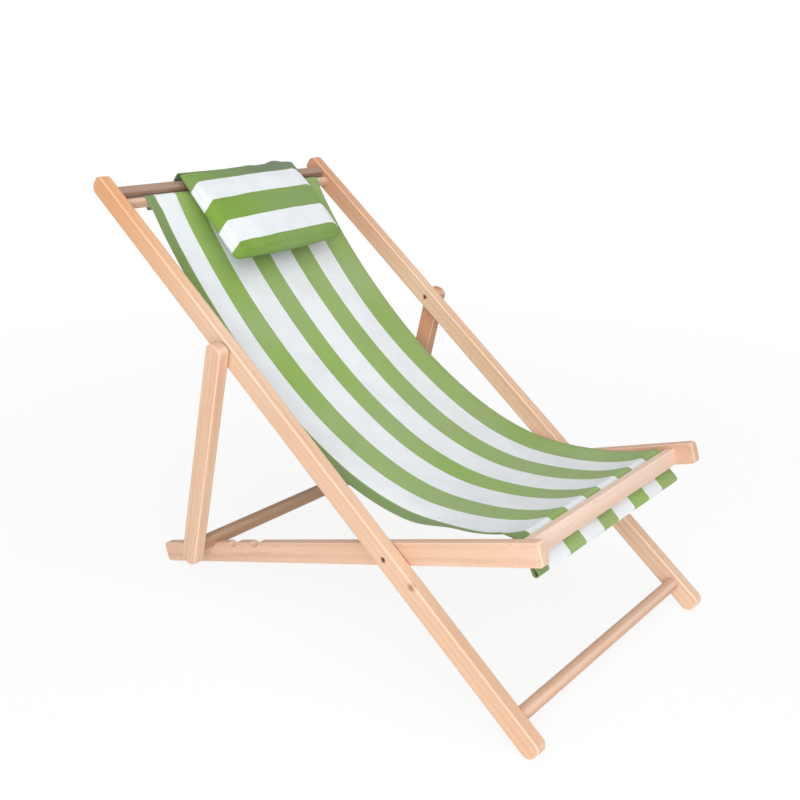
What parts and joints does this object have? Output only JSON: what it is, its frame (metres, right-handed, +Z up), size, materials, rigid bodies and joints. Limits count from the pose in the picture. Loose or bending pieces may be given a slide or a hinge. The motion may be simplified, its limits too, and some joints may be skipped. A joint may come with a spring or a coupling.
{
  "type": "folding sling lounge chair",
  "caption": "Folding deck chair: striped cloth sling hung between crossing wooden frames, held open by a notched prop frame, with a stuffed head pillow strapped over the head rail.",
  "frame": {"origin": "on the floor, under the middle of the chair's length and width", "axes": "+X the way the sitter faces, +Y to the sitter's left, +Z up"},
  "size_m": [0.9426, 0.58, 0.6997],
  "materials": {
    "beech": "clear satin varnish",
    "steel": "dull zinc plate",
    "sling_canvas": "woven cotton canvas with lengthwise green and white stripes",
    "pillow_canvas": "woven cotton canvas with crosswise green and white stripes",
    "brass": "plain"
  },
  "bodies": {
    "back_frame": {"back_rail_right": "beech", "back_rail_left": "beech", "head_rail": "beech", "head_dowel": "beech", "foot_rung": "beech", "head_hem_stick": "beech", "main_pivot_bolts": "steel", "main_pivot_nuts": "steel", "main_pivot_washers": "steel", "prop_pivot_washers": "steel", "sling_back": "sling_canvas", "pillow_strap": "pillow_canvas"},
    "seat_frame": {"seat_rail_right": "beech", "seat_rail_left": "beech", "front_rail": "beech", "front_dowel": "beech", "sling_seat": "sling_canvas", "front_hem_stick": "beech"},
    "prop_frame": {"prop_leg_right": "beech", "prop_leg_left": "beech", "prop_dowel": "beech", "prop_pivot_bolts": "steel", "prop_pivot_inserts": "brass"},
    "pillow": {"pillow": "pillow_canvas"}
  },
  "joints": [
    {"name": "fold", "type": "hinge", "parent": "back_frame", "child": "seat_frame", "pos_m": [0.19044, 0, 0.20954], "axis": [0, 1, 0], "range_deg": [0, 41]},
    {"name": "prop_swing", "type": "hinge", "parent": "back_frame", "child": "prop_frame", "pos_m": [-0.14727, 0, 0.45671], "axis": [0, 1, 0], "range_deg": [0, 102.5]},
    {"name": "pillow_lift", "type": "hinge", "parent": "back_frame", "child": "pillow", "pos_m": [-0.42203, 0, 0.69064], "axis": [0, -1, 0], "range_deg": [0, 80]}
  ],
  "couplings": [
    {"joint": "prop_swing", "follows": "fold", "ratio": 2.5}
  ]
}
